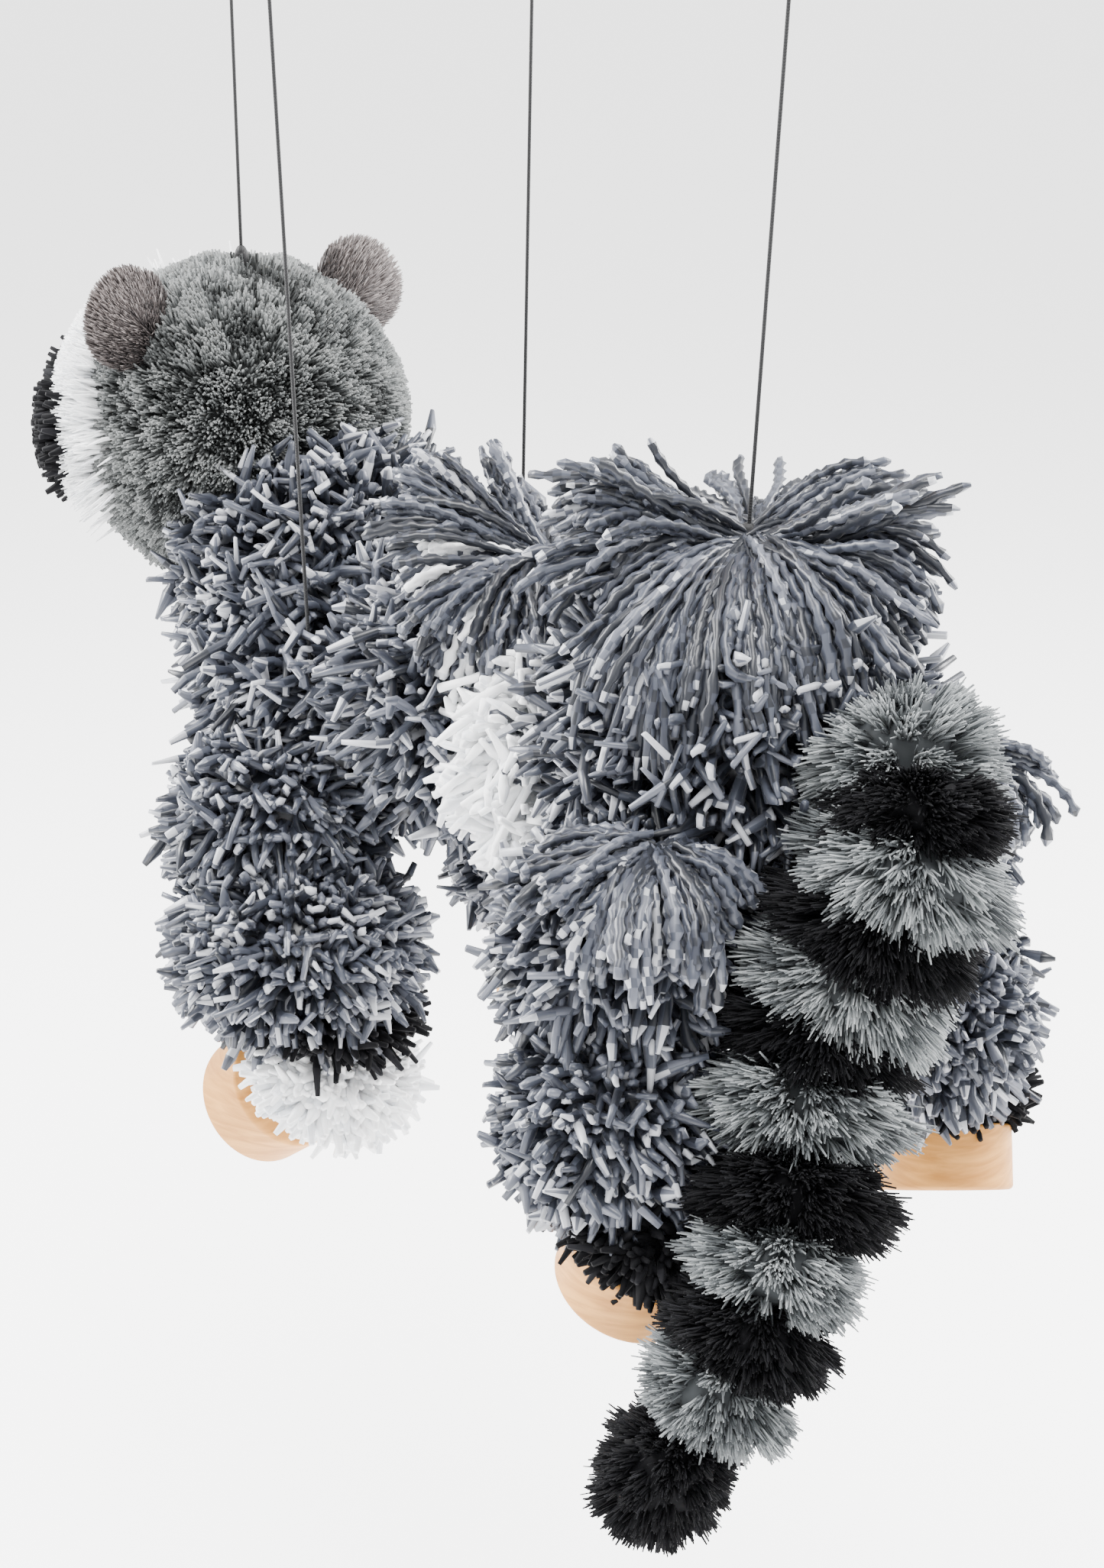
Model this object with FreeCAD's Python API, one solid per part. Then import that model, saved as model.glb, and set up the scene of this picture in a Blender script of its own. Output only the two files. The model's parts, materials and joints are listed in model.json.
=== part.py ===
"""A four-string raccoon marionette made of yarn pom-poms, with turned wooden feet.

Frame: origin at the hand grip of the wooden control, on the centreline of its
long bar. +Z is up and the puppet faces -Y, so its left side is +X. Millimetres.
The puppet hangs below the control on four straight strings: one to the crown of
the head, one to each shoulder and one to the rump. Every pom-pom is a plain
closed solid that stands for the firm inner part of its pile.
"""
import FreeCAD
import Part
import math
import os

V = FreeCAD.Vector

# ---- control -----------------------------------------------------------------
BAR_WIDTH = 18.0
BAR_THICK = 8.0
BAR_FRONT = -152.0
BAR_REAR = 139.0
CROSS_HALF = 70.0
CROSS_Y = -48.0
BAR_EDGE = 1.4
SCREW_SHANK = 2.0
SCREW_HEAD = 4.2
SCREW_HEAD_THICK = 2.6
SCREW_CLEARANCE = 0.15
BORE_RADIUS = 1.3
KNOT_RADIUS = 3.0
KNOT_HEIGHT = 4.2

# ---- strings -----------------------------------------------------------------
STRING_RADIUS = 0.6
STRING_GAP = 0.4
TIE_GAP = 1.2
HEAD_HOLE = V(0, -139, 0)
RUMP_HOLE = V(0, 126, 0)
SHOULDER_HOLE = V(58, CROSS_Y, BAR_THICK)
CROWN = V(0, -138, -277)
SHOULDER_TIE = V(45, -46, -397)
RUMP_TIE = V(0, 104, -327)
TIE_RADIUS = 2.4
TIE_SUNK = 14.0

# ---- head --------------------------------------------------------------------
HEAD = V(0, -141, -336)
HEAD_RADIUS = 54.5
EAR_RADIUS = 17.0
EAR_HALF_THICK = 5.5
EAR_OUT = V(48, 5, 42)
HEAD_CLEARANCE = 3.0
NOD_SWING = 4.5
MASK_LOBES = ((44, 0, 21), (24, 5, 15), (-44, 0, 21), (-24, 5, 15), (0, 9, 13))
BROW_LOBES = ((46, 36, 17), (18, 36, 16), (-46, 36, 17), (-18, 36, 16))
CROWN_PIT_RADIUS = 7.0
CROWN_PIT_DEPTH = 13.0

# ---- trunk: centre and radius of each pom-pom ----------------------------------
COLLAR = (V(0, -98, -376), 42.0)
CHEST = (V(0, -74, -406), 46.0)
BELLY = (V(0, -8, -398), 48.0)
FLANK = (V(0, 44, -408), 44.0)
RUMP = (V(0, 100, -386), 55.0)

# ---- legs ----------------------------------------------------------------------
FRONT_UPPER = (V(50, -62, -438), 24.5)
FRONT_LOWER = (V(62, -37, -484), 27.0)
FRONT_BAND = V(61, -28, -508)
FRONT_PAW = V(62, -23, -523)
REAR_LEFT_UPPER = (V(58, 113, -430), 25.5)
REAR_LEFT_LOWER = (V(66, 123, -480), 25.3)
REAR_LEFT_CUFF = V(67, 134, -502)
REAR_RIGHT_UPPER = (V(-60, 112, -432), 28.0)
REAR_RIGHT_LOWER = (V(-67, 122, -488), 28.5)
REAR_RIGHT_CUFF = V(-69, 134, -515)
LEG_CLEARANCE = 0.7
PAW_RADIUS = 17.0
BAND_RADIUS = 18.0
BAND_HALF = 8.0
CUFF_RADIUS = 15.0
CUFF_HALF = 8.0

# ---- wooden feet: centre of the disc and the way its sole faces -----------------
FOOT_RADIUS = 22.0
FOOT_THICK = 21.0
FOOT_EDGE = 1.6
FOOT_BORE = 2.0
FOOT_BORE_DEPTH = 13.0
FRONT_FOOT = (V(65, -47, -538.5), V(0.10, -0.80, -0.59))
REAR_LEFT_FOOT = (V(67, 131, -527.5), V(0.0, -0.47, -0.88))
REAR_RIGHT_FOOT = (V(-69, 131, -541), V(0.30, 0.34, -0.89))

# ---- tail: centre, radius and half thickness of each stripe, root to tip ---------
TAIL = (
    (V(0, 170, -366), 13.0, 12.7),
    (V(5, 186, -384), 17.0, 10.3),
    (V(14, 181, -405), 24.0, 9.0),
    (V(20, 176, -421), 24.0, 7.2),
    (V(25, 171, -437), 23.0, 8.0),
    (V(31, 166, -453), 22.0, 7.6),
    (V(39, 167, -473), 22.0, 11.6),
    (V(51, 176, -494), 21.0, 9.2),
    (V(62, 181, -510), 19.0, 8.0),
    (V(71, 181, -526), 18.0, 8.2),
    (V(80, 177, -543), 16.0, 7.8),
    (V(91, 169, -567), 16.0, 17.0),
)

os.makedirs("parts", exist_ok=True)


def save(name, shape):
    """Write one sub-part."""
    shape.exportStep(f"parts/{name}.step")


def mirrored(point):
    """The same point on the puppet's other side."""
    return V(-point.x, point.y, point.z)


def ball(centre, radius):
    return Part.makeSphere(radius, centre)


def turned_to(axis):
    """The rotation that takes +Z to an axis."""
    return FreeCAD.Rotation(V(0, 0, 1), axis)


def spheroid(centre, radius, half, axis=V(0, 0, 1)):
    """A ball squashed or drawn out to a half length along its axis."""
    scaling = FreeCAD.Matrix()
    scaling.scale(radius, radius, half)
    solid = Part.makeSphere(1).transformGeometry(scaling)
    solid.Placement = FreeCAD.Placement(centre, turned_to(axis))
    return solid


def rod(start, end, radius):
    """A round rod or bore from one point to another."""
    run = end - start
    return Part.makeCylinder(radius, run.Length, start, run)


def on_head(turn, lift, reach):
    """A point on the head, turned in degrees from the nose and lifted from level."""
    a, e = math.radians(turn), math.radians(lift)
    return HEAD + V(math.sin(a) * math.cos(e), -math.cos(a) * math.cos(e), math.sin(e)) * reach


def without(shape, *others):
    return shape.cut(list(others))


# ---- control ---------------------------------------------------------------------
def flat_bar(length, thick_from):
    """A bar along +Y with half-round ends and eased edges."""
    half = BAR_WIDTH / 2
    middle = Part.makeBox(BAR_WIDTH, length - BAR_WIDTH, BAR_THICK, V(-half, half, thick_from))
    ends = [Part.makeCylinder(half, BAR_THICK, V(0, y, thick_from)) for y in (half, length - half)]
    bar = middle.fuse(ends).removeSplitter()
    rims = [e for e in bar.Edges if abs(e.BoundBox.ZMax - e.BoundBox.ZMin) < 0.01]
    return bar.makeFillet(BAR_EDGE, rims)


def knot(hole, top, bottom):
    """The knot on top of a bar, with its string down through the bore."""
    lump = Part.makeCylinder(KNOT_RADIUS, KNOT_HEIGHT, V(hole.x, hole.y, top))
    lump = lump.makeFillet(KNOT_HEIGHT * 0.4, [e for e in lump.Edges if len(e.Vertexes) == 1])
    return lump.fuse(rod(V(hole.x, hole.y, top + 1), V(hole.x, hole.y, bottom), STRING_RADIUS))


half_thick = BAR_THICK / 2
screw_hole = rod(
    V(0, CROSS_Y, 20), V(0, CROSS_Y, -half_thick + 1.5), SCREW_SHANK + SCREW_CLEARANCE
)
long_bar = flat_bar(BAR_REAR - BAR_FRONT, -half_thick)
long_bar.translate(V(0, BAR_FRONT, 0))
for hole in (HEAD_HOLE, RUMP_HOLE):
    bore = rod(V(hole.x, hole.y, -20), V(hole.x, hole.y, 20), BORE_RADIUS)
    long_bar = long_bar.cut(bore)
save("control_bar", long_bar.cut(screw_hole))

cross_bar = flat_bar(2 * CROSS_HALF, half_thick)
cross_bar.rotate(V(0, 0, 0), V(0, 0, 1), -90)
cross_bar.translate(V(-CROSS_HALF, CROSS_Y, 0))
for hole in (SHOULDER_HOLE, mirrored(SHOULDER_HOLE)):
    bore = rod(V(hole.x, hole.y, -20), V(hole.x, hole.y, 30), BORE_RADIUS)
    cross_bar = cross_bar.cut(bore)
save("cross_bar", cross_bar.cut(screw_hole))

cross_top = half_thick + BAR_THICK
shank = rod(V(0, CROSS_Y, cross_top), V(0, CROSS_Y, -half_thick + 2), SCREW_SHANK)
screw_head = Part.makeCylinder(SCREW_HEAD, SCREW_HEAD_THICK, V(0, CROSS_Y, cross_top))
screw_head = screw_head.makeFillet(
    1.2, [e for e in screw_head.Edges if e.BoundBox.ZMin > cross_top + 1]
)
slot = Part.makeBox(12, 1.1, 1.3, V(-6, CROSS_Y - 0.55, cross_top + 1.5))
save("cross_screw", screw_head.cut(slot).fuse(shank))

save("knot_head", knot(HEAD_HOLE, half_thick, -half_thick))
save("knot_rump", knot(RUMP_HOLE, half_thick, -half_thick))
save("knot_left", knot(SHOULDER_HOLE, cross_top, half_thick))
save("knot_right", knot(mirrored(SHOULDER_HOLE), cross_top, half_thick))

# ---- strings: straight and taut, each from its bore to its tie ----------------------
STRINGS = {
    "string_head": (V(0, HEAD_HOLE.y, -half_thick - STRING_GAP), CROWN),
    "string_rump": (V(0, RUMP_HOLE.y, -half_thick - STRING_GAP), RUMP_TIE),
    "string_left": (V(SHOULDER_HOLE.x, CROSS_Y, half_thick - STRING_GAP), SHOULDER_TIE),
    "string_right": (V(-SHOULDER_HOLE.x, CROSS_Y, half_thick - STRING_GAP), mirrored(SHOULDER_TIE)),
}
for name, (top, bottom) in STRINGS.items():
    end = bottom + (top - bottom).normalize() * (TIE_RADIUS + TIE_GAP)
    save(name, rod(top, end, STRING_RADIUS))
    print(name, "straight run of", round((top - end).Length, 1), "mm, no bends")


def tie(point, towards):
    """The knot on a pom-pom, with its cord sunk into the core."""
    sunk = (towards - point).normalize() * TIE_SUNK
    return ball(point, TIE_RADIUS).fuse(rod(point, point + sunk, STRING_RADIUS * 1.5))


# ---- head --------------------------------------------------------------------------
save("crown_tie", spheroid(CROWN - V(0, 0, 2), TIE_RADIUS, TIE_RADIUS + 2))
crown_pit = rod(CROWN + V(0, 0, 12), CROWN - V(0, 0, CROWN_PIT_DEPTH), CROWN_PIT_RADIUS)
skull = ball(HEAD, HEAD_RADIUS)
save("head_pile", skull.cut(crown_pit))


def ear(side):
    out = V(EAR_OUT.x * side, EAR_OUT.y, EAR_OUT.z)
    facing = V(0.28 * side, -1, 0.1)
    cup = spheroid(HEAD + out - facing * 6, EAR_RADIUS * 0.62, 4.0, facing * -1)
    return without(spheroid(HEAD + out, EAR_RADIUS, EAR_HALF_THICK, facing), skull, cup)


save("ear_left", ear(1))
save("ear_right", ear(-1))


def patch(lobes, reach, half):
    """A patch of pile on the head, joined from flat lobes given as (turn, lift, radius)."""
    solids = []
    for turn, lift, radius in lobes:
        centre = on_head(turn, lift, reach)
        solids.append(spheroid(centre, radius, half, centre - HEAD))
    return solids[0].fuse(solids[1:])


snout = V(0, -1, -0.12)
muzzle = spheroid(HEAD + V(0, -49, -15), 20, 25, snout)
muzzle_room = spheroid(HEAD + V(0, -49, -15), 20.4, 25.4, snout)
nose = spheroid(HEAD + V(0, -76, -15), 7, 4.6, V(0, -1, 0.3))
eyes = {side: ball(on_head(27 * side, 9, HEAD_RADIUS + 9.5), 5.2) for side in (1, -1)}
mask = patch(MASK_LOBES, HEAD_RADIUS - 1, 11.5)
brows = patch(BROW_LOBES, HEAD_RADIUS - 2, 8.5)
ears = [ear(1), ear(-1)]
save("muzzle", without(muzzle, skull, nose))
save("nose", nose)
save("eye_left", eyes[1])
save("eye_right", eyes[-1])
save("mask", without(mask, skull, muzzle_room, eyes[1], eyes[-1]))
save("brows", without(brows, skull, mask, muzzle_room, *ears))

# ---- trunk --------------------------------------------------------------------------
collar_ball = ball(*COLLAR)
chest_ball = ball(*CHEST)
belly_ball = ball(*BELLY)
flank_ball = ball(*FLANK)
rump_ball = ball(*RUMP)
tail_room = ball(TAIL[0][0], TAIL[0][1] + LEG_CLEARANCE)

front_room = [
    ball(p, FRONT_UPPER[1] + LEG_CLEARANCE) for p in (FRONT_UPPER[0], mirrored(FRONT_UPPER[0]))
]
rear_room = [
    ball(centre, radius + LEG_CLEARANCE) for centre, radius in (REAR_LEFT_UPPER, REAR_RIGHT_UPPER)
]
head_room = ball(HEAD, HEAD_RADIUS + HEAD_CLEARANCE + NOD_SWING)
left_tie = tie(SHOULDER_TIE, CHEST[0])
right_tie = tie(mirrored(SHOULDER_TIE), CHEST[0])
rump_tie = tie(RUMP_TIE, RUMP[0])
save("shoulder_tie_left", left_tie)
save("shoulder_tie_right", right_tie)
save("rump_tie", rump_tie)
save("chest", without(chest_ball, head_room, collar_ball, left_tie, right_tie, *front_room))
save("collar", without(collar_ball, head_room, *front_room))
save("belly", without(belly_ball, chest_ball, left_tie, right_tie, *front_room))
save("flank", without(flank_ball, belly_ball, *rear_room))
save("rump", without(rump_ball, flank_ball, tail_room, rump_tie, *rear_room))


# ---- legs and wooden feet ---------------------------------------------------------------
def foot(centre, sole):
    """A turned wooden disc with eased rims and a blind bore for its cord."""
    disc = Part.makeCylinder(FOOT_RADIUS, FOOT_THICK, V(0, 0, -FOOT_THICK / 2))
    disc = disc.makeFillet(FOOT_EDGE, [e for e in disc.Edges if len(e.Vertexes) == 1])
    bore = rod(V(0, 0, -FOOT_THICK), V(0, 0, FOOT_BORE_DEPTH - FOOT_THICK / 2), FOOT_BORE)
    disc = disc.cut(bore)
    disc.Placement = FreeCAD.Placement(centre, turned_to(sole))
    return disc


for side, label in ((1, "left"), (-1, "right")):
    at = (lambda p: p) if side == 1 else mirrored
    upper = ball(at(FRONT_UPPER[0]), FRONT_UPPER[1])
    lower = ball(at(FRONT_LOWER[0]), FRONT_LOWER[1])
    down = at(FRONT_PAW) - at(FRONT_LOWER[0])
    band = spheroid(at(FRONT_BAND), BAND_RADIUS, BAND_HALF, down)
    paw = ball(at(FRONT_PAW), PAW_RADIUS)
    save(f"front_{label}_upper", upper)
    save(f"front_{label}_lower", lower)
    save(f"front_{label}_band", band.cut(lower))
    save(f"front_{label}_paw", without(paw, lower, band))
    centre, sole = FRONT_FOOT
    save(f"front_{label}_foot", foot(at(centre), V(sole.x * side, sole.y, sole.z)))

# The rear legs differ: the left one hangs shorter, and each foot tilts its own way.
REAR_LEGS = {
    "left": (REAR_LEFT_UPPER, REAR_LEFT_LOWER, REAR_LEFT_CUFF, REAR_LEFT_FOOT),
    "right": (REAR_RIGHT_UPPER, REAR_RIGHT_LOWER, REAR_RIGHT_CUFF, REAR_RIGHT_FOOT),
}
for label, (upper, lower, cuff, disc) in REAR_LEGS.items():
    save(f"rear_{label}_upper", ball(*upper))
    save(f"rear_{label}_lower", ball(*lower))
    save(f"rear_{label}_cuff", spheroid(cuff, CUFF_RADIUS, CUFF_HALF).cut(ball(*lower)))
    save(f"rear_{label}_foot", foot(*disc))

# ---- tail ---------------------------------------------------------------------------------
COLOURS = ("grey", "black")
for i, (centre, radius, half) in enumerate(TAIL):
    before = TAIL[max(i - 1, 0)][0]
    after = TAIL[min(i + 1, len(TAIL) - 1)][0]
    name = f"tail_{i + 1:02d}_{COLOURS[i % 2]}"
    save(name, spheroid(centre, radius, half, after - before))
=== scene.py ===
"""The yarn raccoon marionette as it looks: pom-poms, brushed pile, wood and thread.

Metres, in the CAD frame: origin at the grip of the control, +Z up, facing -Y.
Yarn and pile are real strands. Each strand is a closed tube in one of its yarn's shades.
"""

import json
import math

import bpy
import numpy as np
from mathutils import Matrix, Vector

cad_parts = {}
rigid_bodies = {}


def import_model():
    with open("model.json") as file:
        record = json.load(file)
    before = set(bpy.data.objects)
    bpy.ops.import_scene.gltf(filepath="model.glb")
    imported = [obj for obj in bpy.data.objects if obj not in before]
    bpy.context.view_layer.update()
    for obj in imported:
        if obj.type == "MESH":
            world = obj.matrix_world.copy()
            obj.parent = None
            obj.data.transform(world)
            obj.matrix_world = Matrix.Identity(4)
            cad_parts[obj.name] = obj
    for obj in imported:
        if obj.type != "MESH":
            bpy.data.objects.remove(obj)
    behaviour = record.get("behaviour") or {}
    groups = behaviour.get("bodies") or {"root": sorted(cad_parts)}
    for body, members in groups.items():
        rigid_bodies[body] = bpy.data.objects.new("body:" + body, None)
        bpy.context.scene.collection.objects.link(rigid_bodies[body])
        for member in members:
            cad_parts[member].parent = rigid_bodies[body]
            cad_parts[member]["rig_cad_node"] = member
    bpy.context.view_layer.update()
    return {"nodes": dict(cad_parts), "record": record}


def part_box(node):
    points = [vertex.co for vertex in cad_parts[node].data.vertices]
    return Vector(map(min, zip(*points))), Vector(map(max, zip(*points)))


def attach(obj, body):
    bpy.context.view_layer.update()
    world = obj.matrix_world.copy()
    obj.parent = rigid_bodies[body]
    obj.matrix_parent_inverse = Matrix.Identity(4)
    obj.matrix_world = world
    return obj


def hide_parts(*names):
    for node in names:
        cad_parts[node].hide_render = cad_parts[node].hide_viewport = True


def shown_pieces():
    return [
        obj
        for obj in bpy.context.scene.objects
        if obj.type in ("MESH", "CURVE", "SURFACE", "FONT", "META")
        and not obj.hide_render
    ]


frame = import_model()

MM = 0.001
rng = np.random.default_rng(7)
FULL_TURN = 6.28


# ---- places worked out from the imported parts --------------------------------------
def middle(node):
    """The centre of a node's box."""
    low, high = (np.array(c, float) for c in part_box(node))
    return (low + high) / 2


def mm(*values):
    return np.array(values, float) * MM


HEAD = middle("head_pile")
HEAD_REACH = 58.5 * MM


# ---- materials ----------------------------------------------------------------------
def shader(name, colour, roughness, sheen=0.0, specular=0.5):
    """A plain principled material."""
    mat = bpy.data.materials.new(name)
    mat.use_nodes = True
    p = mat.node_tree.nodes["Principled BSDF"]
    p.inputs["Base Color"].default_value = (*colour, 1)
    p.inputs["Roughness"].default_value = roughness
    p.inputs["Specular IOR Level"].default_value = specular
    p.inputs["Sheen Weight"].default_value = sheen
    p.inputs["Sheen Roughness"].default_value = 0.4
    return mat


def tones(name, colours, roughness, sheen, specular):
    """One material for each shade of a yarn, dark to light: shades of its own colour that vary at random
    between strands, and the same shades used as painted shade and painted highlights.
    """
    return [shader(f"{name}_{i}", c, roughness, sheen, specular) for i, c in enumerate(colours)]


GREY_YARN = tones(
    "grey_yarn",
    (
        (0.013, 0.015, 0.021), (0.032, 0.036, 0.050), (0.060, 0.067, 0.088),
        (0.115, 0.123, 0.151), (0.42, 0.43, 0.46),
    ),
    0.34, 0.06, 0.5,
)
WHITE_YARN = tones(
    "white_yarn", ((0.76, 0.78, 0.81), (0.88, 0.89, 0.90), (0.95, 0.955, 0.96)), 0.5, 0.2, 0.4
)
BLACK_SHADES = ((0.002, 0.002, 0.003), (0.004, 0.004, 0.005), (0.009, 0.009, 0.011))
BLACK_YARN = tones("black_yarn", BLACK_SHADES, 0.8, 0.02, 0.14)
HEAD_PILE = tones(
    "head_pile",
    ((0.024, 0.026, 0.026), (0.066, 0.070, 0.070), (0.120, 0.127, 0.127), (0.20, 0.208, 0.206)),
    0.7, 0.08, 0.2,
)
EAR_FUR = tones(
    "ear_fur", ((0.026, 0.021, 0.021), (0.080, 0.067, 0.065), (0.20, 0.172, 0.165)), 0.55, 0.08, 0.3
)
TAIL_GREY = tones(
    "tail_grey",
    ((0.052, 0.058, 0.062), (0.14, 0.152, 0.158), (0.23, 0.246, 0.252), (0.36, 0.38, 0.385)),
    0.6, 0.1, 0.25,
)
TAIL_BLACK = tones("tail_black", BLACK_SHADES, 0.75, 0.02, 0.14)


def textured(mat, kind, scale, strength, distance):
    """Gives a material a surface bumped by a noise or wave texture. Returns the texture node."""
    tree = mat.node_tree
    where = tree.nodes.new("ShaderNodeTexCoord")
    stretch = tree.nodes.new("ShaderNodeMapping")
    stretch.inputs["Scale"].default_value = scale
    texture = tree.nodes.new(kind)
    texture.inputs["Scale"].default_value = 1.0
    bump = tree.nodes.new("ShaderNodeBump")
    bump.inputs["Strength"].default_value = strength
    bump.inputs["Distance"].default_value = distance
    tree.links.new(where.outputs["Object"], stretch.inputs["Vector"])
    tree.links.new(stretch.outputs["Vector"], texture.inputs["Vector"])
    tree.links.new(texture.outputs["Fac"], bump.inputs["Height"])
    tree.links.new(bump.outputs["Normal"], tree.nodes["Principled BSDF"].inputs["Normal"])
    return texture


def wood():
    """Light beech: long soft grain bands with fine darker flecks."""
    mat = shader("beech", (0.62, 0.29, 0.09), 0.5, specular=0.3)
    tree = mat.node_tree
    grain = textured(mat, "ShaderNodeTexNoise", (60, 60, 420), 0.12, 0.0004)
    grain.inputs["Detail"].default_value = 6
    grain.inputs["Distortion"].default_value = 0.6
    shades = tree.nodes.new("ShaderNodeValToRGB")
    shades.color_ramp.elements[0].position = 0.30
    shades.color_ramp.elements[0].color = (0.46, 0.19, 0.036, 1)
    shades.color_ramp.elements[1].position = 0.66
    shades.color_ramp.elements[1].color = (0.70, 0.335, 0.085, 1)
    tree.links.new(grain.outputs["Fac"], shades.inputs["Fac"])
    tree.links.new(shades.outputs["Color"], tree.nodes["Principled BSDF"].inputs["Base Color"])
    return mat


BEECH = wood()
THREAD = shader("thread", (0.010, 0.010, 0.011), 0.6, 0.1, 0.35)
textured(THREAD, "ShaderNodeTexWave", (700, 700, 700), 0.5, 0.0002).bands_direction = "DIAGONAL"
STEEL = shader("zinc", (0.62, 0.62, 0.60), 0.3)
STEEL.node_tree.nodes["Principled BSDF"].inputs["Metallic"].default_value = 1.0
textured(STEEL, "ShaderNodeTexNoise", (900, 900, 120), 0.15, 0.0001)
EYE = shader("eye", (0.008, 0.004, 0.003), 0.1, specular=0.5)
textured(EYE, "ShaderNodeTexNoise", (90, 90, 90), 0.03, 0.0002)
NOSE = shader("nose", (0.004, 0.004, 0.004), 0.55, specular=0.25)
textured(NOSE, "ShaderNodeTexNoise", (900, 900, 900), 0.35, 0.0003)


# ---- strands ---------------------------------------------------------------------------
def unit(v):
    return v / np.maximum(np.linalg.norm(v, axis=-1, keepdims=True), 1e-12)


def directions(n, jitter=1.2):
    """Evenly spread directions, a little disturbed."""
    i = np.arange(n) + 0.5
    lift = np.arccos(1 - 2 * i / n)
    turn = math.pi * (1 + 5**0.5) * i
    d = np.stack([np.cos(turn) * np.sin(lift), np.sin(turn) * np.sin(lift), np.cos(lift)], 1)
    return unit(d + rng.normal(0, jitter / math.sqrt(n), d.shape))


def turned(axis):
    """A rotation whose third column is an axis."""
    axis = unit(np.asarray(axis, float))
    side = unit(np.cross([0.2, 1, 0.1], axis))
    return np.stack([side, np.cross(axis, side), axis], 1)


def place(name, mesh, mats, body):
    """Puts a new piece in the scene, on its body."""
    for mat in mats:
        mesh.materials.append(mat)
    obj = bpy.data.objects.new(name, mesh)
    bpy.context.scene.collection.objects.link(obj)
    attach(obj, body)
    return obj


def frames(paths):
    """Two directions across each path at each of its points."""
    along = unit(np.gradient(paths, axis=1))
    first, last = unit(paths[:, 1] - paths[:, 0]), unit(paths[:, -1] - paths[:, -2])
    loose = unit(np.cross(unit(paths[:, -1] - paths[:, 0]), rng.normal(0, 1, first.shape)))
    ref = unit(np.cross(first, last) + 0.2 * loose)[:, None]
    across = unit(np.cross(along, np.broadcast_to(ref, along.shape)))
    return across, np.cross(along, across)


# Share of plied strand faces made one shade lighter: painted highlight specks.
GLINT_SHARE = 0.14


def tubes(name, paths, radii, mats, body, slot, shades, sides=6, plied=False, tips=None):
    """One mesh of many closed strands along paths (n, k, 3) with radii (n, k).

    A plied strand has two ridges that turn one side further at each ring, as twisted
    plies have, with a darker painted shade in the grooves between them and small
    lighter specks of painted highlight. Its root is darker, painted shade, and its cut end takes the
    shade in tips.
    """
    n, k, _ = paths.shape
    across, third = frames(paths)
    ring = np.arange(sides)
    angle = ring * 2 * math.pi / sides
    ridge = np.cos(2 * (angle[None] - np.arange(k)[:, None] * 2 * math.pi / sides))
    lobes = 0.82 + 0.27 * ridge if plied else np.ones((k, sides))
    u, v = np.cos(angle) * lobes, np.sin(angle) * lobes
    sideways = u[None, ..., None] * across[:, :, None] + v[None, ..., None] * third[:, :, None]
    points = (paths[:, :, None] + radii[:, :, None, None] * sideways).reshape(-1, 3)

    quad = np.stack([ring, (ring + 1) % sides, (ring + 1) % sides + sides, ring + sides], 1)
    rings = (np.arange(k - 1) * sides)[:, None, None] + quad[None]
    starts = (np.arange(n) * k * sides)[:, None, None]
    quads = (rings.reshape(1, -1, 4) + starts).reshape(-1, 4)
    caps = (ring[None] + (k - 1) * sides + starts[:, :, 0]).reshape(-1, sides)
    corners = np.concatenate([quads.ravel(), caps.ravel()])
    sizes = np.concatenate([np.full(len(quads), 4), np.full(len(caps), sides)])
    begins = np.concatenate([[0], np.cumsum(sizes)[:-1]])

    shade = np.repeat(shades, (k - 1) * sides).reshape(n, k - 1, sides)
    if tips is not None:
        shade[:, -1] = tips[:, None]
    if plied:
        # Faces in the grooves between the ridges go one shade darker: painted shade.
        painted_groove_shade = (ring[None] - np.arange(k - 1)[:, None]) % 3 == 1
        shade[:, painted_groove_shade] = np.maximum(shade[:, painted_groove_shade] - 1, 0)
        # Random faces go one shade lighter: painted highlight glints.
        glint = rng.random(shade.shape) < GLINT_SHARE
        shade[glint] = np.minimum(shade[glint] + 1, len(mats) - 1)
        # The first third of a plied strand, at its root, goes one shade darker: painted shade.
        root = slice(0, (k - 1) // 3)
        shade[:, root] = np.maximum(shade[:, root] - 1, 0)
    ends = shades if tips is None else tips
    mesh = bpy.data.meshes.new(name)
    mesh.vertices.add(len(points))
    mesh.vertices.foreach_set("co", points.astype(np.float32).ravel())
    mesh.loops.add(len(corners))
    mesh.loops.foreach_set("vertex_index", corners.astype(np.int32))
    mesh.polygons.add(len(sizes))
    mesh.polygons.foreach_set("loop_start", begins.astype(np.int32))
    mesh.polygons.foreach_set("loop_total", sizes.astype(np.int32))
    mesh.polygons.foreach_set("material_index", np.concatenate([shade.ravel(), ends]).astype(np.int32))
    mesh.polygons.foreach_set("use_smooth", np.ones(len(sizes), bool))
    mesh.update(calc_edges=True)
    return place(name, mesh, mats, body)


def pick(n, weights):
    """Random shade numbers in the given proportions."""
    weights = np.array(weights, float)
    return rng.choice(len(weights), n, p=weights / weights.sum())


def mottle(points, size, count):
    """A smooth random pattern over points, as shade numbers from 0 to count - 1."""
    waves = 0
    for finer in (1, 0.8, 0.62, 0.5, 0.4, 0.33, 1.3, 0.9):
        along = points @ unit(rng.normal(0, 1, 3))
        waves = waves + np.sin(along * 2 * math.pi / (size * finer) + rng.uniform(0, FULL_TURN))
    level = count / 2 + waves * 0.36 + rng.normal(0, 0.45, len(points))
    return np.clip(level, 0, count - 1).astype(int)


def outside(points, others):
    """True where a point isn't deep inside another pom-pom (centre, reach)."""
    keep = np.ones(len(points), bool)
    for centre, reach in others:
        keep &= np.linalg.norm((points - centre) / reach, axis=1) > 0.86
    return keep


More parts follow.
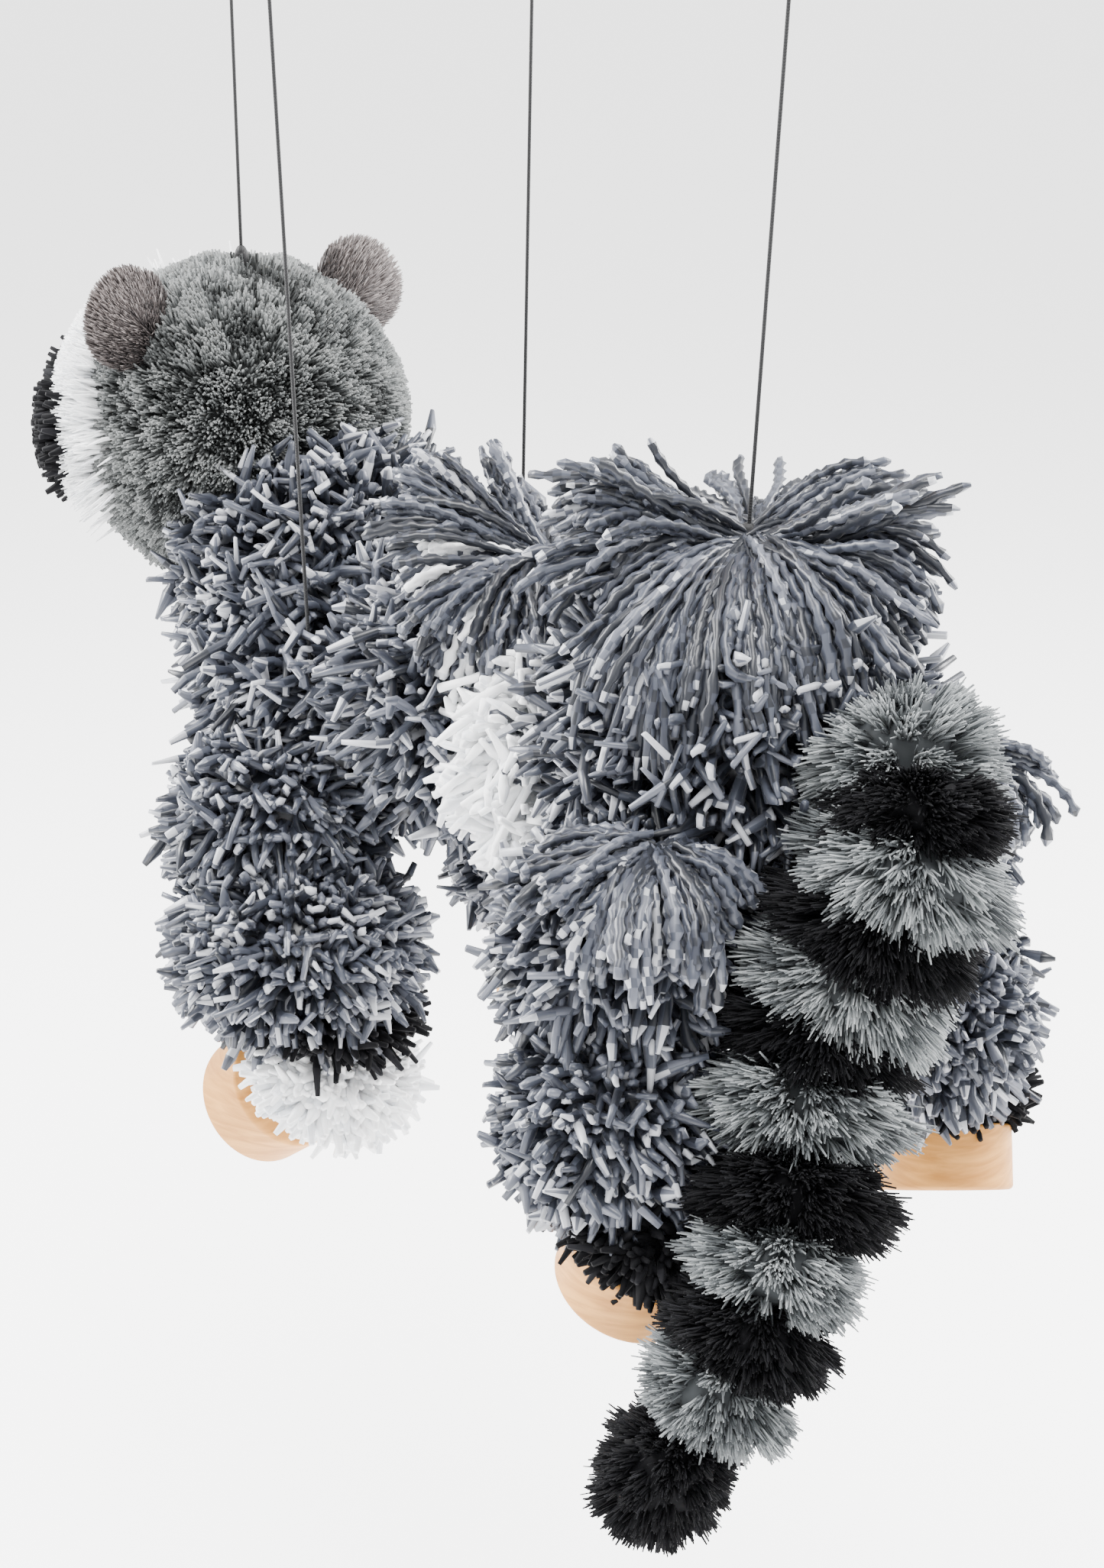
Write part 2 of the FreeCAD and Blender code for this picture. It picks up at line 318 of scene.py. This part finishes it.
def tufts(d, count):
    """The tuft that each direction leans to, and how far inside the tuft's edge it is."""
    lead = directions(count, 2.4).astype(np.float32)
    dots = d.astype(np.float32) @ lead.T
    rows, best = np.arange(len(d)), np.argmax(dots, axis=1)
    first = dots[rows, best]
    dots[rows, best] = -1
    return lead[best], ((first - dots.max(axis=1)) * count / (2 * math.pi))[:, None]


def radial(centre, reach, n, inner=0.6, curl=0.28, droop=0.06, k=8, uneven=0.08,
           tuft=8, gather=0.55, valley=0.0, others=(), keep=None):
    """Paths that stand out from a core, a tuft of them leaning together at their tips.

    Those at a tuft's edge are shorter by the share in valley, so tufts stand apart.
    """
    d = directions(n)
    leader, edge = tufts(d, max(n // tuft, 3))
    length = 1 + rng.normal(0, uneven, (n, 1)) - valley * np.exp(-5 * edge)
    end = unit(d + gather * (leader - d))
    chosen = outside(centre + end * reach * length, others)
    if keep is not None:
        chosen &= keep(d)
    d, end, length = d[chosen], end[chosen], length[chosen]
    t = np.linspace(0, 1, k)[None, :, None]
    lean = unit(d[:, None] + (end - d)[:, None] * t**1.5)
    out = (inner + (length[:, None] - inner) * t) * lean * reach
    side = unit(np.cross(d, rng.normal(0, 1, d.shape)))[:, None]
    size = float(np.mean(reach))
    wave = t**2 + 0.22 * t * np.sin(7 * t + rng.uniform(0, FULL_TURN, (len(d), 1, 1)))
    bend = side * (curl * size * wave) * rng.uniform(0.1, 1.6, (len(d), 1, 1))
    fall = np.array([0, 0, -1.0]) * droop * size * t**2
    return centre + out + bend + fall


LOCK = 7
PLUME_SPREAD, LOCK_SPREAD = (13, 8, 20), (4.5, 4.5, 9, 3)


def spray(tie, plumes, ball, k=26, others=()):
    """Long strands that spring from a tie in locks and arc over a ball.

    Each plume is (heading, rise, bend, length, locks): its compass heading from
    +X, how steeply it leaves the tie, how far it then bends down, in degrees,
    its length in millimetres and its number of locks of strands.
    """
    spec = np.array([p[:4] for p in plumes for _ in range(p[4])], float)
    spec[:, :3] += rng.normal(0, 1, (len(spec), 3)) * PLUME_SPREAD
    spec[:, 3] *= rng.uniform(0.70, 1.10, len(spec))
    phase = np.repeat(rng.uniform(0, FULL_TURN, (len(spec), 2)), LOCK, axis=0)
    spec = np.repeat(spec, LOCK, axis=0)
    spec += rng.normal(0, 1, spec.shape) * LOCK_SPREAD
    heading, rise, bend = np.radians(spec[:, :3].T)[..., None]
    n = len(spec)
    t = np.linspace(0, 1, k)[None]
    lift = rise - bend * t**1.1 + 0.20 * t * np.sin(6 * t + phase[:, :1])
    turn = heading + rng.normal(0, 0.14, (n, 1)) * t + 0.30 * t * np.sin(5 * t + phase[:, 1:])
    step = np.stack([np.cos(lift) * np.cos(turn), np.cos(lift) * np.sin(turn), np.sin(lift)], -1)
    start = tie + rng.normal(0, 1.8 * MM, (n, 1, 3))
    path = start + np.cumsum(step, axis=1) * (spec[:, 3] * MM / k)[:, None, None]
    centre, reach = ball
    depth = np.linalg.norm((path - centre) / reach, axis=-1, keepdims=True)
    layer = rng.uniform(0.84, 1.04, (n, 1, 1))
    path = np.where(depth < layer, centre + (path - centre) / depth * layer, path)
    return path[outside(path[:, -1], others)]


def core(name, centre, reach, mat, body, rings=16, turn=None):
    """The heart of a pom-pom, seen only between its strands, given the dark shade passed in: painted
    shade in the gaps between strands.
    """
    turn = np.eye(3) if turn is None else turn
    turns = 2 * rings
    lifts, spins = np.linspace(0.02, math.pi - 0.02, rings), np.arange(turns) * 2 * math.pi / turns
    lift, spin = np.meshgrid(lifts, spins, indexing="ij")
    d = np.stack([np.sin(lift) * np.cos(spin), np.sin(lift) * np.sin(spin), np.cos(lift)], -1)
    lumps = 1 + 0.04 * np.sin(d[..., :1] * 9 + 1) * np.cos(d[..., 1:2] * 8 + d[..., 2:3] * 7)
    points = (centre + (d * reach * lumps) @ turn.T).reshape(-1, 3)
    faces = []
    for start in range(0, (rings - 1) * turns, turns):
        for j in range(turns):
            after = (j + 1) % turns
            faces.append((start + j, start + turns + j, start + turns + after, start + after))
    faces.append(tuple(range(turns)))
    faces.append(tuple(reversed(range((rings - 1) * turns, rings * turns))))
    mesh = bpy.data.meshes.new(name)
    mesh.from_pydata(points.tolist(), [], faces)
    mesh.polygons.foreach_set("use_smooth", np.ones(len(mesh.polygons), bool))
    return place(name, mesh, [mat], body)


YARN_R = 1.6 * MM
CORE_SHARE = 0.70


def thickness(paths, radius, knob=1.22, root=0.8, knobbly=0.13):
    """Strand radii: an uneven run and a fuller cut end that closes."""
    n, k, _ = paths.shape
    t = np.linspace(0, 1, k)
    run = np.interp(t, (0, 0.3, 0.84, 0.95, 1), (root, 1, knob, knob * 0.95, knob * 0.5))
    each = rng.uniform(0.82, 1.15, (n, 1))
    beads = 1 + knobbly * np.sin(np.arange(k)[None] * 2.2 + rng.uniform(0, FULL_TURN, (n, 1)))
    return radius * run[None] * each * beads


def yarn(name, body, slot, mats, sets, nodes, mix, tip_mix, radius=YARN_R, knobbly=0.13, **look):
    """A pom-pom's yarn strands, from one or more sets of paths."""
    look = {"plied": True, **look}
    for i, paths in enumerate(sets):
        label = f"{name}_{i + 1}" if len(sets) > 1 else name
        shades, tips = pick(len(paths), mix), pick(len(paths), tip_mix)
        radii = thickness(paths, radius, knobbly=knobbly)
        tubes(label, paths, radii, mats, body, slot, shades, tips=tips, **look)
    if nodes:
        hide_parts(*nodes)


# Grey strands' cut ends lean to the lighter shades: painted highlight on the tips. GREY_MIX is the yarn's
# random run of shades.
GREY_MIX, GREY_HIGHLIGHT_TIPS = (2.4, 4, 3.4, 1.8, 0.5), (0.4, 1.6, 3, 3.4, 2.6)
WHITE_MIX = (1, 3, 3)
BLACK_MIX = (3, 3, 1)
GREY, WHITE, BLACK = ("grey_yarn", GREY_YARN), ("white_yarn", WHITE_YARN), ("black_yarn", BLACK_YARN)


def pompom(name, body, shade_set, ball, count, nodes, mix=GREY_MIX, tips=GREY_HIGHLIGHT_TIPS, more=(),
           knobbly=0.13, **shape):
    """A pom-pom with a core, radial strands and any longer ones laid over it."""
    slot, mats = shade_set
    centre, reach = ball
    sets = [radial(centre, reach, count, **shape), *more]
    yarn(name, body, slot, mats, sets, nodes, mix, tips, knobbly=knobbly)
    # The core takes the darkest shade: painted shade between the strands.
    core(f"{name}_core", centre, reach * CORE_SHARE, mats[0], body)


# ---- trunk: centre and reach of each pile ---------------------------------------------------
COLLAR = (mm(0, -96, -377), mm(52, 49, 48))
CHEST = (mm(0, -73, -405), mm(60, 56, 51))
BELLY = (mm(0, -8, -398), mm(54, 52, 51))
FLANK = (mm(0, 50, -405), mm(56, 44, 49))
RUMP = (mm(0, 101, -388), mm(60, 60, 58))
HEAD_BALL = (HEAD, np.full(3, 54 * MM))
BACK_TIE, RUMP_TIE = mm(6, 24, -353), mm(0, 104, -333)

# Plumes: heading, rise, bend, length, locks.
BACK_PLUMES = (
    (318, 30, 34, 50, 9), (340, 16, 65, 50, 8), (300, 34, 38, 48, 8), (280, 32, 45, 46, 7),
    (0, 6, 95, 50, 8), (24, 2, 100, 48, 7), (52, 12, 95, 40, 5), (250, 30, 60, 44, 5),
    (220, 30, 60, 42, 5), (185, 34, 50, 36, 5), (100, 30, 60, 32, 4),
)
RUMP_NEAR_PLUMES = (
    (318, 27, 26, 56, 9), (336, 18, 58, 60, 8), (356, 6, 95, 66, 9), (16, 2, 108, 66, 9),
    (36, 0, 112, 66, 9), (56, 0, 112, 68, 9), (77, 4, 106, 66, 9), (98, 10, 88, 64, 8),
)
RUMP_FAR_PLUMES = (
    (138, 24, 34, 57, 10), (158, 19, 54, 58, 8), (118, 16, 70, 62, 9), (182, 18, 64, 56, 7),
    (210, 16, 70, 54, 6), (240, 16, 70, 54, 6), (270, 16, 62, 54, 6), (296, 22, 50, 54, 7),
)
WHITE_PLUMES = ((322, 16, 58, 42, 4), (345, 4, 90, 50, 2))
RUMP_MIX = (4, 4.6, 2.6, 1.1, 0.4)

pompom("collar_yarn", "trunk", GREY, COLLAR, 2100, ["collar"], others=[HEAD_BALL, CHEST], droop=0.0)
pompom("chest_yarn", "trunk", GREY, CHEST, 2300, ["chest"], others=[COLLAR, BELLY])
pompom("belly_yarn", "trunk", GREY, BELLY, 1900, ["belly"], others=[CHEST, FLANK],
       more=[spray(BACK_TIE, BACK_PLUMES, BELLY, others=[HEAD_BALL])])
yarn("back_white_strands", "trunk", *WHITE, [spray(BACK_TIE, WHITE_PLUMES, BELLY)], [],
     WHITE_MIX, WHITE_MIX)
pompom("flank_yarn", "trunk", WHITE, FLANK, 1500, ["flank"], others=[BELLY, RUMP], mix=WHITE_MIX,
       tips=WHITE_MIX, knobbly=0.24, keep=lambda d: d[:, 2] < 0.85, inner=0.7, curl=0.3, uneven=0.05)
pompom("rump_yarn", "trunk", GREY, RUMP, 2100, ["rump"], mix=RUMP_MIX, others=[FLANK],
       keep=lambda d: d[:, 2] < 0.8,
       more=[spray(RUMP_TIE, RUMP_NEAR_PLUMES, RUMP), spray(RUMP_TIE, RUMP_FAR_PLUMES, RUMP)])


# ---- legs -----------------------------------------------------------------------------------
def pad(name, body, shade_set, centre, reach, axis, n, node, mix, radius):
    """A flat pom-pom squared to an axis, such as one that sits on a wooden foot."""
    slot, mats = shade_set
    paths = radial(np.zeros(3), reach, n, inner=0.35, curl=0.3, droop=0.0, uneven=0.1, k=5)
    yarn(name, body, slot, mats, [centre + paths @ turned(axis).T], [node], mix, mix, radius,
         knobbly=0.2, plied=False, sides=5)
    # The core takes the darkest shade: painted shade between the strands.
    core(f"{name}_core", centre, reach * 0.6, mats[0], body, 12, turned(axis))


for side, label in ((1, "left"), (-1, "right")):
    flip = np.array([side, 1, 1])
    leg = f"front_{label}"
    thigh = (mm(50, -59, -445) * flip, mm(37, 38, 33))
    shin = (mm(61, -36, -482) * flip, mm(41, 41, 32))
    pompom(f"{leg}_thigh_yarn", f"{leg}_thigh", GREY, thigh, 1100, [f"{leg}_upper"], others=[CHEST, shin],
           inner=0.5, droop=0.12)
    pompom(f"{leg}_shin_yarn", f"{leg}_shin", GREY, shin, 1600, [f"{leg}_lower"], others=[thigh],
           inner=0.5, droop=0.08)
    pad(f"{leg}_band_yarn", f"{leg}_shin", BLACK, mm(58, -25, -501) * flip, mm(31, 31, 7),
        (0.1 * side, -0.25, -1), 760, f"{leg}_band", BLACK_MIX, 1.25 * MM)
    pad(f"{leg}_paw_yarn", f"{leg}_shin", WHITE, mm(60, -20, -522) * flip, mm(28, 27, 16),
        (0.1 * side, -0.55, -0.8), 1300, f"{leg}_paw", WHITE_MIX, 1.5 * MM)

# The rear legs hang differently, and each foot's sole faces its own way.
REAR_SOLES = {"left": (0, -0.47, -0.88), "right": (0.30, 0.34, -0.89)}
# Long strands spring from a tie on each rear thigh: the left one's, mirrored and shorter at right.
THIGH_PLUMES = (
    (-15, 5, 60, 38, 5), (15, 0, 75, 42, 5), (45, -5, 80, 42, 5), (75, -5, 80, 44, 5),
    (105, 0, 80, 36, 3), (140, 10, 70, 30, 2), (-50, 20, 60, 32, 3),
)
RIGHT_PLUME_SHARE = 0.84
for side, label in ((1, "left"), (-1, "right")):
    leg = f"rear_{label}"
    thigh = (middle(f"{leg}_upper") + mm(0, 0, -4), mm(36, 37, 40))
    shin = (middle(f"{leg}_lower") + mm(0, 0, -2), mm(35, 35, 36))
    tie = thigh[0] + mm(6 * side, 20, 32)
    plumes = THIGH_PLUMES
    if side == -1:
        plumes = [
            (180 - heading, rise, bend, length * RIGHT_PLUME_SHARE, locks)
            for heading, rise, bend, length, locks in plumes
        ]
    pompom(f"{leg}_thigh_yarn", f"{leg}_thigh", GREY, thigh, 1100, [f"{leg}_upper"], others=[RUMP, shin],
           inner=0.5, droop=0.15, more=[spray(tie, plumes, thigh, k=20)])
    pompom(f"{leg}_shin_yarn", f"{leg}_shin", GREY, shin, 1450, [f"{leg}_lower"], others=[thigh],
           inner=0.5, droop=0.12)
    sole = unit(np.array(REAR_SOLES[label]))
    above_foot = middle(f"{leg}_foot") - sole * 19 * MM
    pad(f"{leg}_cuff_yarn", f"{leg}_shin", BLACK, above_foot, mm(27, 27, 13), sole, 1000, f"{leg}_cuff",
        BLACK_MIX, 1.25 * MM)


# ---- brushed pile -----------------------------------------------------------------------------
def pile(name, body, shade_set, paths, nodes, mix, radius, point=0.3):
    """Fine fibres, shaded by proportions or by a shade number for each."""
    slot, mats = shade_set
    n, k, _ = paths.shape
    run = np.interp(np.linspace(0, 1, k), (0, 0.5, 1), (1, 0.9, point))
    radii = radius * run[None] * rng.uniform(0.7, 1.3, (n, 1))
    shades = mix if len(mix) == n else pick(n, mix)
    obj = tubes(name, paths, radii, mats, body, slot, shades, sides=3)
    if nodes:
        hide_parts(*nodes)


def parting(ends, half, front, back):
    """True for fibres near the line that runs back from the head's string."""
    x, y, z = ends.T
    return (np.abs(x) < half * MM) & (y > front * MM) & (y < back * MM) & (z > 0)


# The head: dense sheared pile in soft mottled tufts, parted behind its string. The shorter fibres between
# tufts and those along the parting get darker shades, painted shade in the hollows.
head_paths = radial(
    HEAD, np.full(3, HEAD_REACH), 54000, inner=0.86, curl=0.03, droop=0.0, k=2, uneven=0.010,
    tuft=140, gather=0.14, valley=0.055, keep=lambda d: (d[:, 1] > -0.86) | (d[:, 2] < -0.45),
)
ends = head_paths[:, -1] - HEAD
head_paths = head_paths[~parting(ends, 2, 1, 32)]
ends = head_paths[:, -1] - HEAD
height = np.linalg.norm(ends, axis=1) / HEAD_REACH
# Shorter fibres, in the hollows between tufts, take darker shades: painted shade. The mottle is random
# tone.
level = (height - 0.965) * 62 + 0.7 * mottle(ends, 26 * MM, 4) + rng.normal(0, 0.4, len(ends))
# Fibres along the parting take the darkest shade: painted shade in the parting.
level[parting(ends, 4.5, 0, 33)] = 0
shades = np.clip(level, 0, 3).astype(int)
for i in range(2):
    pile(f"head_pile_fibres_{i + 1}", "head", ("head_pile", HEAD_PILE), head_paths[i::2],
         ["head_pile"] if i == 0 else [], shades[i::2], 0.55 * MM, point=0.7)
# The core takes the darkest shade: painted shade between the fibres.
core("head_core", HEAD, np.full(3, 51.5 * MM), HEAD_PILE[0], "head", 32)


def at_head(turn, lift, reach):
    """A place on the head, turned in degrees from the nose and lifted from level."""
    a, e = math.radians(turn), math.radians(lift)
    return HEAD + mm(math.sin(a) * math.cos(e), -math.cos(a) * math.cos(e), math.sin(e)) * reach


EYES = [middle("eye_left"), middle("eye_right")]
EYE_CLEAR = 11 * MM


def patch_paths(spots, n, reach, spread, curl=0.3, k=5):
    """Strands on the head around a few spots, each (turn, lift), clear of the eyes."""
    inner = 52 * MM
    found = []
    for turn, lift in spots:
        d = unit(unit(at_head(turn, lift, 1.0) - HEAD)[None] + rng.normal(0, spread, (n, 3)))
        t = np.linspace(0, 1, k)[None, :, None]
        length = rng.uniform(0.9, 1.08, (n, 1, 1))
        out = d[:, None] * (inner + (reach * MM - inner) * t * length)
        side = unit(np.cross(d, rng.normal(0, 1, d.shape)))[:, None]
        found.append(HEAD + out + side * curl * 8 * MM * t**2)
    found = np.concatenate(found)
    clear = [np.linalg.norm(found[:, -1] - eye, axis=1) > EYE_CLEAR for eye in EYES]
    return found[clear[0] & clear[1]]


MASK_SPOTS = ((20, 9), (33, 7), (46, 3), (57, 1), (65, -3), (42, -9))
mask_spots = [(side * turn, lift) for side in (1, -1) for turn, lift in MASK_SPOTS]
mask_paths = patch_paths(mask_spots + [(0, 13)], 120, 71, 0.10)
yarn("mask_yarn", "head", *BLACK, [mask_paths], ["mask"], BLACK_MIX, BLACK_MIX, 1.25 * MM,
     plied=False, sides=5)
BROW_SPOTS = ((14, 30), (30, 34), (46, 30), (60, 20), (69, 8), (70, -7))
brow_spots = [(side * turn, lift) for side in (1, -1) for turn, lift in BROW_SPOTS]
pile("brow_fibres", "head", WHITE, patch_paths(brow_spots, 480, 66, 0.13, k=3), ["brows"],
     WHITE_MIX, 0.8 * MM)
snout = HEAD + mm(0, -52, -15)
pile("muzzle_fibres", "head", WHITE,
     radial(snout, mm(22, 27, 20), 4600, inner=0.6, curl=0.1, k=3, keep=lambda d: d[:, 1] < 0.3,
            others=[(middle("nose"), np.full(3, 10.5 * MM))]),
     ["muzzle"], WHITE_MIX, 0.8 * MM)
# The core takes the darkest white shade: painted shade between the fibres.
core("muzzle_core", snout, mm(19, 23, 17), WHITE_YARN[0], "head")


EAR_WIDE, EAR_TALL, EAR_THICK, EAR_FIBRES = 15.5 * MM, 14.5 * MM, 4.2 * MM, 4600


def ear(label, side):
    """A cup of short fur that lies outwards, darker at its base."""
    out = unit(middle(f"ear_{label}") - HEAD)
    facing = unit(np.array([0.28 * side, -1, 0.1]))
    wide = unit(np.cross(facing, out))
    base = middle(f"ear_{label}") - out * 2 * MM
    n = EAR_FIBRES
    a = rng.uniform(0, math.pi * 2, n)
    r = np.sqrt(rng.uniform(0, 1, n))
    face = rng.choice([-1, 1], n)
    height = np.sin(a) * r
    flat = wide * (np.cos(a) * r)[:, None] * EAR_WIDE + out * height[:, None] * EAR_TALL
    bulge = facing * (face * np.sqrt(np.maximum(1 - r**2, 0)) * EAR_THICK)[:, None]
    root = base + flat + bulge
    t = np.linspace(0, 1, 3)[None, :, None]
    outwards = out[None] + facing * face[:, None] * 0.25 + unit(flat) * 0.45
    lean = unit(outwards + rng.normal(0, 0.1, (n, 3)))
    paths = root[:, None] + lean[:, None] * t * (5.6 * MM)
    shades = np.clip(1.4 + height * 0.9 + rng.normal(0, 0.5, n), 0, 2).astype(int)
    pile(f"ear_{label}_fur", "head", ("ear_fur", EAR_FUR), paths, [f"ear_{label}"], shades, 0.42 * MM)
    turn = np.stack([wide, facing, out], 1)
    # The core takes the darkest shade: painted shade between the fibres.
    core(f"ear_{label}_core", base, mm(14.5, 4.0, 13.8), EAR_FUR[0], "head", turn=turn)


ear("left", 1)
ear("right", -1)

# ---- tail: brushed stripes ---------------------------------------------------------------------
TAIL_BODY = ("tail_base", "tail_upper", "tail_lower", "tail_tip")
TAIL_REACH = (28, 27, 33, 32, 32, 31, 33, 30, 27, 25.5, 23.5, 20)
TAIL_HALF = (20, 14, 16, 14, 15, 14, 18, 15, 14, 14, 14, 23)
stripes = sorted(n for n in frame["nodes"] if n.startswith("tail_"))
spots = [middle(n) for n in stripes]
LAST = len(stripes) - 1
# The root stripes bush out below the rump, towards the rest of the tail.
spots[0] = spots[0] + mm(2, -2, -14)
spots[1] = spots[1] + mm(6, -5, -6)


def stripe(i, node):
    """One stripe: soft tufts that stand out all round and lean towards the tip. Grey fibres at a tuft's
    edge are darker, painted shade between the tufts.
    """
    line = unit(spots[min(i + 1, LAST)] - spots[max(i - 1, 0)])
    centre, reach, half = spots[i], TAIL_REACH[i] * MM, TAIL_HALF[i] * MM
    n = int(190 * TAIL_REACH[i] + (1200 if i == LAST else 0))
    d = directions(n)
    leader, edge = tufts(d, n // 75)
    d = unit(d + 0.32 * (leader - d))
    lump = 0.08 * np.sin(leader @ np.array([37, 23, 51]))[:, None]
    dip = np.exp(-5 * edge)
    up = d @ line[:, None]
    flat = d - up * line
    t = np.linspace(0, 1, 3)[None, :, None]
    length = (rng.normal(1, 0.03, (n, 1)) + lump - 0.11 * dip)[..., None]
    out = flat[:, None] * reach * (0.55 + (length - 0.55) * t)
    along = up[:, None] * line * half * (0.75 + 0.25 * t)
    stray = rng.normal(0, 0.05, (n, 1, 3)) * reach * t**1.5
    paths = centre + out + along + stray + line * 0.08 * reach * t**2
    grey = node.endswith("grey")
    shade_set = ("tail_grey", TAIL_GREY) if grey else ("tail_black", TAIL_BLACK)
    body = TAIL_BODY[i // 3]
    # Grey fibres near a tuft's edge, in the hollow between tufts, go darker: painted shade; the rest of
    # the spread is random.
    level = 3.3 - 3.0 * dip[:, 0] + rng.normal(0, 0.5, n) - rng.uniform(0, 0.9)
    shades = np.clip(level, 0, 3).astype(int) if grey else pick(n, BLACK_MIX)
    pile(f"{node}_pile", body, shade_set, paths, [node], shades, 0.5 * MM, point=0.45)
    inside = np.array([0.68 * reach, 0.68 * reach, 0.8 * half])
    # The core takes the darkest shade: painted shade between the fibres.
    core(f"{node}_core", centre, inside, shade_set[1][0], body, turn=turned(line))


for i, node in enumerate(stripes):
    stripe(i, node)

# ---- strings, and the finish of the control, feet, eyes and nose from the CAD ---------------------
STRINGS = {
    "string_head": (mm(0, -139, -4.4), mm(0, -138, -279)),
    "string_rump": (mm(0, 126, -4.4), mm(0, 104, -329)),
    "string_left": (mm(58, -48, 3.6), mm(45, -46, -399)),
    "string_right": (mm(-58, -48, 3.6), mm(-45, -46, -399)),
}
STRING_RADIUS = 0.6 * MM
STRING_POINTS = 12
for name, (top, bottom) in STRINGS.items():
    curve = bpy.data.curves.new(f"{name}_thread", "CURVE")
    curve.dimensions = "3D"
    curve.bevel_depth = STRING_RADIUS
    curve.use_fill_caps = True
    spline = curve.splines.new("POLY")
    spline.points.add(STRING_POINTS - 1)
    for i, point in enumerate(spline.points):
        point.co = (*(top + (bottom - top) * i / (STRING_POINTS - 1)), 1)
    cord = bpy.data.objects.new(f"{name}_thread", curve)
    bpy.context.scene.collection.objects.link(cord)
    curve.materials.append(THREAD)
    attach(cord, name)
    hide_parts(name)

FINISH = {"wood": BEECH, "steel": STEEL, "string": THREAD, "eye": EYE, "nose": NOSE}
SLOTS = {s["node"]: s["material_slot"] for s in frame["record"]["subparts"]}
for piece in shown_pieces():
    node = piece.get("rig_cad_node")
    if node and SLOTS[node] in FINISH:
        piece.data.materials.clear()
        piece.data.materials.append(FINISH[SLOTS[node]])

# ---- camera, floor and light ------------------------------------------------------------------------
AZIMUTH, ELEVATION, DISTANCE = math.radians(138), math.radians(20), 0.9
target = Vector((0, 0.020, -0.427))
level_run = math.cos(ELEVATION)
back = Vector((math.sin(AZIMUTH) * level_run, -math.cos(AZIMUTH) * level_run, math.sin(ELEVATION)))
lens = bpy.data.cameras.new("camera")
lens.sensor_width = 36
lens.lens = 64.7
camera = bpy.data.objects.new("camera", lens)
camera.location = target + back * DISTANCE
camera.rotation_euler = back.to_track_quat("Z", "Y").to_euler()
bpy.context.scene.collection.objects.link(camera)
bpy.context.scene.camera = camera

FLOOR_Z, FLOOR_HALF = -0.82, 16
paper = shader("paper", (0.95, 0.95, 0.95), 0.9, specular=0.1)
paper.node_tree.nodes["Principled BSDF"].inputs["Emission Color"].default_value = (1, 1, 1, 1)
paper.node_tree.nodes["Principled BSDF"].inputs["Emission Strength"].default_value = 1.5
floor_mesh = bpy.data.meshes.new("floor")
rim = [(x * FLOOR_HALF, y * FLOOR_HALF, FLOOR_Z) for x, y in ((-1, -1), (1, -1), (1, 1), (-1, 1))]
floor_mesh.from_pydata(rim, [], [(0, 1, 2, 3)])
floor_mesh.materials.append(paper)
floor = bpy.data.objects.new("floor", floor_mesh)
bpy.context.scene.collection.objects.link(floor)

world = bpy.data.worlds.new("studio")
world.use_nodes = True
world.node_tree.nodes["Background"].inputs["Color"].default_value = (1, 1, 1, 1)
world.node_tree.nodes["Background"].inputs["Strength"].default_value = 1.5
bpy.context.scene.world = world


def softbox(name, spot, size, power):
    """A square soft light that faces the puppet."""
    light = bpy.data.lights.new(name, "AREA")
    light.shape = "SQUARE"
    light.size = size
    light.energy = power
    lamp = bpy.data.objects.new(name, light)
    lamp.location = spot
    lamp.rotation_euler = (spot - target).to_track_quat("Z", "Y").to_euler()
    bpy.context.scene.collection.objects.link(lamp)


right = Vector((math.cos(AZIMUTH), math.sin(AZIMUTH), 0))
softbox("right_box", target + right * 1.2 - back * 0.5 + Vector((0, 0, 0.8)), 0.9, 75)
softbox("left_box", target - right * 1.2 - back * 0.4 + Vector((0, 0, 0.8)), 0.9, 70)
softbox("top_box", target + back * 0.5 + Vector((0, 0, 1.3)), 0.8, 42)
